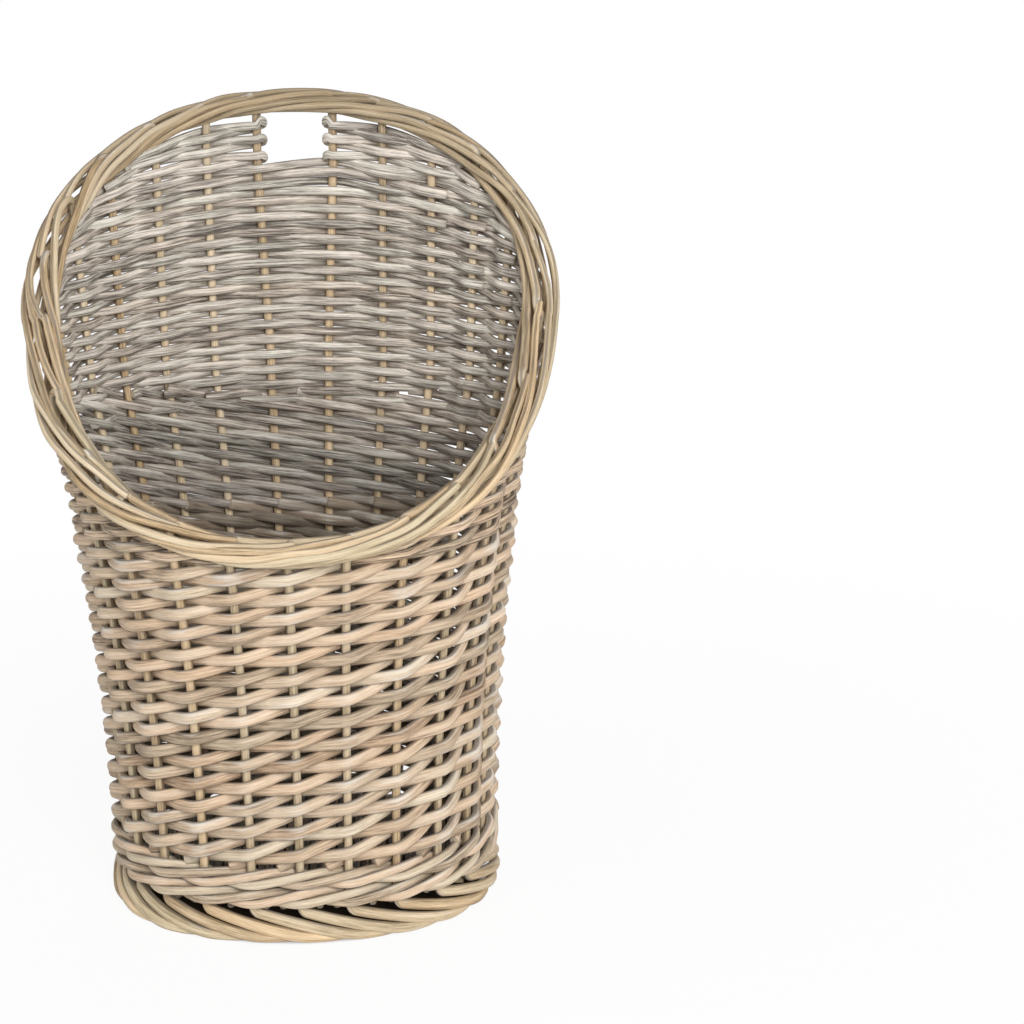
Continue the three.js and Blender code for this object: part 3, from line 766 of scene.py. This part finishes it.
def climbing_rods(index):
    """Thin rods that go on climbing from the end of a weaver, wherever there is room for them."""
    every = np.linspace(WEAVER_END, WEAVER_END + STAKES, STAKES * STATIONS)
    height = weaver_height(WEAVER_END, index + every) + CLIMB_ROW * (every - WEAVER_END)
    top = climb_top(index + every) + chance.uniform(*CLIMB_TOP_SPREAD)
    free = height < np.minimum(top, rim_below(index + every))
    borders = np.flatnonzero(np.diff(np.pad(free, 1).astype(int))).reshape(-1, 2)
    rods = []
    for first, last in borders[borders[:, 1] - borders[:, 0] > STATIONS // 2]:
        step = every[first:last]
        along = WALL_SPACE * step
        sway = weave(step)
        size = swelling(along, *CLIMB_SIZES)
        out = -CLIMB_OUT * sway * (1 + CLIMB_SWAY_DRIFT * drift(along))
        z = height[first:last] + nestle(index + step, sway) + CLIMB_WANDER * drift(along)
        rods.append(rod(wall(index + step, z, out), size * CLIMB_TALL, size * CLIMB_THICK))
    return rods


climbers = [piece for index in range(STAKES) for piece in climbing_rods(index)]
triangles = add_piece("back_weaver_lower_willow", climbers, [grey, cut], "back_weaver_lower")
print("climbing rods:", len(climbers), "triangles:", triangles)

# %% Draw the level rows of the back
BACK_OUT, BACK_WANDER, BACK_SWAY_DRIFT, BACK_NESTLE = 4.6, 0.35, 0.06, 0.4
BACK_SIZES = (0.94, 1.06, 0.06)  # least, most and swell of a rod
ROW_END_SPREAD, PIECED_SHARE = 0.1, 0.7
JOINT_BEFORE, JOINT_AFTER = 0.35, 0.25  # how far the two rods of a pieced row reach past their stake
JOINT_APART, JOINT_SPACES = 1.6, 0.6  # how far they lie apart there, and for how many spaces
RISING_ROWS, RISING_SPACES = 4, 0.7  # rows that rise at the hole, and for how many spaces


def stretch(low, high):
    """Places from low to high, with the usual stations."""
    return np.linspace(low, high, int(abs(high - low) * STATIONS) + 2)


def bell(place, middle, spaces):
    """1 at the middle, and falling off to both sides within some spaces: exp of minus the square."""
    return np.exp(-(((place - middle) / spaces) ** 2))


def level_row(row):
    """Rods of a level row, over and under the stakes. The last four rows rise at one side of the hole.

    Some of the upper rows are pieced on the +X side: the first rod is cut off inside the basket, just
    past a stake, and a second one begins behind its end and goes on to the rim.
    """
    end = row_end(row) + chance.uniform(-ROW_END_SPREAD, ROW_END_SPREAD)
    far = 2 * BACK_STAKE + 1 - row_end(row)
    joint = np.ceil(end) + 1
    joint += (joint + row + 1) % 2
    ways = [(end, far, 0)]
    if row > len(rows) // 2 and chance.random() < PIECED_SHARE:
        ways = [(joint - JOINT_BEFORE, far, -1), (end, joint + JOINT_AFTER, 1)]
    rods = []
    for low, high, aside in ways:
        place = stretch(low, high)
        along = WALL_SPACE * (place - place[0])
        lift = max(0, row - rows[-1 - RISING_ROWS]) * bell(place, BACK_STAKE, RISING_SPACES)
        sway = weave(place + row)
        z = level(row_height(row, place), place) - BACK_NESTLE * nestle(place, sway) + lift
        z = z + BACK_WANDER * drift(along)
        apart = JOINT_APART * aside * bell(place, joint, JOINT_SPACES)
        path = wall(place, z, BACK_OUT * sway * (1 + BACK_SWAY_DRIFT * drift(along)) + apart)
        size = swelling(along, *BACK_SIZES)
        rods.append(rod(path, size * BACK_TALL, size * BACK_THICK))
    return rods


level_rods = [piece for row in rows for piece in level_row(row)]
triangles = add_piece("back_weaver_upper_willow", level_rods, [grey, cut], "back_weaver_upper")
print("rods in level rows:", len(level_rods), "triangles:", triangles)

# %% Draw the loops beside the hole
HOLE_LOOPS, HOLE_LOOP_PITCH, HOLE_LOOP_R, HOLE_LOOP_REACH = 3, 10.2, 4.5, 5.5
HOLE_LOOP_HALF = HOLE_LOOP_PITCH / 4.4  # half of the way up from a loop's lower run to its upper one
HOLE_LOOP_ROOM, HOLE_LOOP_WANDER, HOLE_LOOP_STATIONS = 0.4, 0.3, 9
HOLE_LOOP_SIZES = (0.92, 1.04)  # least and most of a rod


def hole_loop(turning, side, middle):
    """A rod that comes in along a row, turns round a stake beside the hole and goes back one row up.

    The way from the rim to the stake is woven like a row. The turn is half a circle round the stake.
    """
    reach = stretch(turning + side * HOLE_LOOP_REACH, turning)
    reach = reach[level(middle, reach) < rim_below(reach) - HOLE_LOOP_ROOM]
    runs = []
    for way, sign in ((reach, 1), (reach[::-1], -1)):
        row = (middle - sign * HOLE_LOOP_HALF - BACK_START) / BACK_ROW
        along = WALL_SPACE * np.abs(way - way[0])
        z = level(row_height(row, way), way) + HOLE_LOOP_WANDER * drift(along)
        runs.append(wall(way, z, sign * HOLE_LOOP_R * weave(way - turning)))
    turn = np.linspace(0, np.pi, HOLE_LOOP_STATIONS)[1:-1]
    centre = wall(turning, middle - HOLE_LOOP_HALF * np.cos(turn))
    out = outward(stake_angle(turning, middle), middle)
    to_hole = -side * np.cross(UP, out)
    bow = centre + HOLE_LOOP_R * (np.cos(turn)[:, None] * out + np.sin(turn)[:, None] * to_hole)
    path = np.concatenate([runs[0], bow, runs[1]])
    return rod(path, BACK_TALL * chance.uniform(*HOLE_LOOP_SIZES), BACK_THICK)


triangles = 0
for name, turning, side in (
    ("back_weaver_hole_right", BACK_STAKE, -1),
    ("back_weaver_hole_left", BACK_STAKE + 1, 1),
):
    middles = HOLE_BOTTOM + HOLE_LOOP_PITCH * (np.arange(HOLE_LOOPS) + 0.5)
    rods = [hole_loop(turning, side, middle) for middle in middles]
    triangles += add_piece(name + "_willow", rods, [grey, cut], name)
print("loops beside the hole:", 2 * HOLE_LOOPS, "triangles:", triangles)

# %% [markdown]
# ## Bottom
#
# The bottom is a woven oval: rods side by side from front to back, which go up and down in turn, on two
# sticks. A flat plate would do for the eye from outside, but through the mouth the weave should go on.
# Each rod is as long as the oval is deep at its place.

# %% Draw the bottom
MAT_RODS, MAT_ROD_R, MAT_PITCH, MAT_WAVE, MAT_RISE = 39, 2.5, 5.2, 34.0, 1.3
MAT_END, MAT_WANDER, MAT_STATIONS = 2.0, 0.4, 48
STICKS, STICK_R, STICK_Z, STICK_SPACING = 2, 3.5, 12.44, 68.0
STICK_END, STICK_WANDER, STICK_SAG, STICK_STATIONS = 1.0, 0.5, 0.2, 24
mat_middle = (BASE_BACK_DEPTH - BASE_FRONT_DEPTH) / 2


def mat_depth(x):
    """Front and back edge of the oval at x, from its outline."""
    outline = mat_edge[np.argsort(mat_edge[:, 0])]
    front, back = outline[outline[:, 1] < 0], outline[outline[:, 1] > 0]
    return np.interp(x, front[:, 0], front[:, 1]), np.interp(x, back[:, 0], back[:, 1])


rods = []
for count in range(MAT_RODS):
    x = MAT_PITCH * (count - MAT_RODS // 2)
    front, back = mat_depth(x)
    y = np.linspace(front + MAT_END, back - MAT_END, MAT_STATIONS)
    wave = np.cos(np.pi * ((y - mat_middle) / MAT_WAVE + count))
    z = (MAT_BOTTOM + MAT_TOP) / 2 + MAT_RISE * wave
    rods.append(rod(np.stack([x + MAT_WANDER * drift(y), y, z], -1), MAT_ROD_R, MAT_ROD_R))
triangles = add_piece("base_mat_willow", rods, [grey, cut], "base_mat")
for index in range(STICKS):
    name = f"base_stick_{index + 1:02d}"
    low, high = (corner[0] / MM - shift[0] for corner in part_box(name))
    x = np.linspace(low + STICK_END, high - STICK_END, STICK_STATIONS)
    y = mat_middle + (index - 0.5) * STICK_SPACING + STICK_WANDER * drift(x)
    path = np.stack([x, y, STICK_Z + STICK_SAG * drift(x)], -1)
    triangles += add_piece(name + "_willow", [rod(path, STICK_R, STICK_R)], [straw, cut], name)
print("bottom triangles:", triangles)

# %% [markdown]
# ## Floor, light and camera
#
# The photograph is a studio picture on white. A broad pale floor takes a soft shadow. For the camera it
# is mostly its own white, and further off all white, so that it runs into the background. But not under
# the basket, where it would shine through the gaps of the foot: there it is painted dark brown, as a
# painted shadow. Three large lamps, one of them weak and behind, and an even world light the basket at a
# plain level. The camera stands in front and looks down at the slanted mouth.

# %% Floor and world
FLOOR_HALF_WIDTH, FLOOR_FRONT, FLOOR_BACK, FLOOR_Z = 9.0, -6.0, 14.0, -0.0004  # metres
FOOT_MIDDLE, FOOT_STRETCH = (0.0, -0.003, 0.0), (9.0, 11.4, 0.0)  # makes a circle of the oval foot
UNDER_FOOT, NEAR_FOOT = (0.96, 1.03), (2.0, 8.0)  # in radii of that circle
NEAR_WHITE = 0.92  # share of its own white near the basket
WORLD_LIGHT = 0.32


def direct(finish):
    """1 for rays that come from the camera or from a mirror or glass, and 0 for the light of the scene."""
    seen = finish.add("ShaderNodeLightPath", {}, {}, "Is Camera Ray")
    return 1 - (1 - seen) * (1 - seen.part("Is Glossy Ray")) * (1 - seen.part("Is Transmission Ray"))


floor_mesh = bpy.data.meshes.new("floor")
corners = [
    (-FLOOR_HALF_WIDTH, FLOOR_FRONT, FLOOR_Z), (FLOOR_HALF_WIDTH, FLOOR_FRONT, FLOOR_Z),
    (FLOOR_HALF_WIDTH, FLOOR_BACK, FLOOR_Z), (-FLOOR_HALF_WIDTH, FLOOR_BACK, FLOOR_Z),
]
floor_mesh.from_pydata(corners, [], [[0, 1, 2, 3]])
floor = bpy.data.objects.new("floor", floor_mesh)
bpy.context.scene.collection.objects.link(floor)

paper = Finish(bpy.data.materials.new("studio_floor"))
spot = paper.add("ShaderNodeTexCoord", {}, {}, "Object")
oval = paper.add("ShaderNodeVectorMath", {"operation": "SUBTRACT"}, {0: spot, 1: FOOT_MIDDLE})
oval = paper.add("ShaderNodeVectorMath", {"operation": "MULTIPLY"}, {0: oval, 1: FOOT_STRETCH})
radius = paper.add("ShaderNodeVectorMath", {"operation": "LENGTH"}, {0: oval}, "Value")
beyond = paper.ramp(radius, *UNDER_FOOT)
# Painted shadow: the floor is dark brown under the foot, and pale beyond.
floor_with_painted_shadow = paper.mix(beyond, srgb(96, 84, 72), srgb(246, 246, 246))
own_white = beyond * (NEAR_WHITE + paper.ramp(radius, *NEAR_FOOT) * (1 - NEAR_WHITE))
matte = paper.add("ShaderNodeBsdfDiffuse", {}, {"Color": floor_with_painted_shadow})
glow = paper.add("ShaderNodeEmission", {}, {"Color": WHITE, "Strength": 1.0})
both = paper.add("ShaderNodeMixShader", {}, {0: direct(paper) * own_white, 1: matte, 2: glow})
paper.add("ShaderNodeOutputMaterial", {}, {"Surface": both})
floor_mesh.materials.append(paper.owner)

sky = Finish(bpy.data.worlds.new("studio"))
light = sky.add("ShaderNodeBackground", {}, {"Color": WHITE, "Strength": WORLD_LIGHT})
white = sky.add("ShaderNodeBackground", {}, {"Color": WHITE, "Strength": 1.0})
both = sky.add("ShaderNodeMixShader", {}, {0: direct(sky), 1: light, 2: white})
sky.add("ShaderNodeOutputWorld", {}, {"Surface": both})
bpy.context.scene.world = sky.owner
print("floor and world ready")

# %% Lamps
AIM = (0.0, 0.0, 0.25)  # the middle of the basket, in metres


def lamp(name, place, size, power):
    """A square lamp at a place, facing the basket."""
    data = bpy.data.lights.new(name, "AREA")
    data.size, data.energy = size, power
    piece = bpy.data.objects.new(name, data)
    piece.location = place
    toward = np.array(AIM) - np.array(place)
    across = np.hypot(toward[0], toward[1])
    piece.rotation_euler = (np.arctan2(across, -toward[2]), 0, np.arctan2(-toward[0], toward[1]))
    bpy.context.scene.collection.objects.link(piece)


lamp("key", (0.85, -2.4, 1.6), size=1.2, power=64)
lamp("fill", (-1.8, -1.5, 1.4), size=1.6, power=11)
lamp("back", (0.5, 2.6, 1.2), size=1.6, power=16)
print("lamps:", [lamp_data.name for lamp_data in bpy.data.lights])

# %% Camera
PHOTO_PIXELS, FOCAL_PIXELS, SENSOR = 1024, 2400.0, 36.0
TURN, PITCH = 2.51, 18.36  # degrees
AHEAD, ASIDE, HEIGHT = 1348.5, 126.9, 678.9
turn = np.radians(TURN)
camera_place = np.array([
    np.cos(turn) * ASIDE - np.sin(turn) * AHEAD,
    -np.sin(turn) * ASIDE - np.cos(turn) * AHEAD,
    HEIGHT,
])
camera_data = bpy.data.cameras.new("camera")
camera_data.sensor_width = SENSOR
camera_data.lens = FOCAL_PIXELS * SENSOR / PHOTO_PIXELS
camera = bpy.data.objects.new("camera", camera_data)
camera.location = (camera_place + shift) * MM
camera.rotation_euler = (np.radians(90 - PITCH), 0, -turn)
bpy.context.scene.collection.objects.link(camera)
bpy.context.scene.camera = camera
bpy.context.scene.view_settings.view_transform = "Standard"
print("camera at", np.round(camera.location, 3).tolist(), "lens", round(camera_data.lens, 1), "mm")
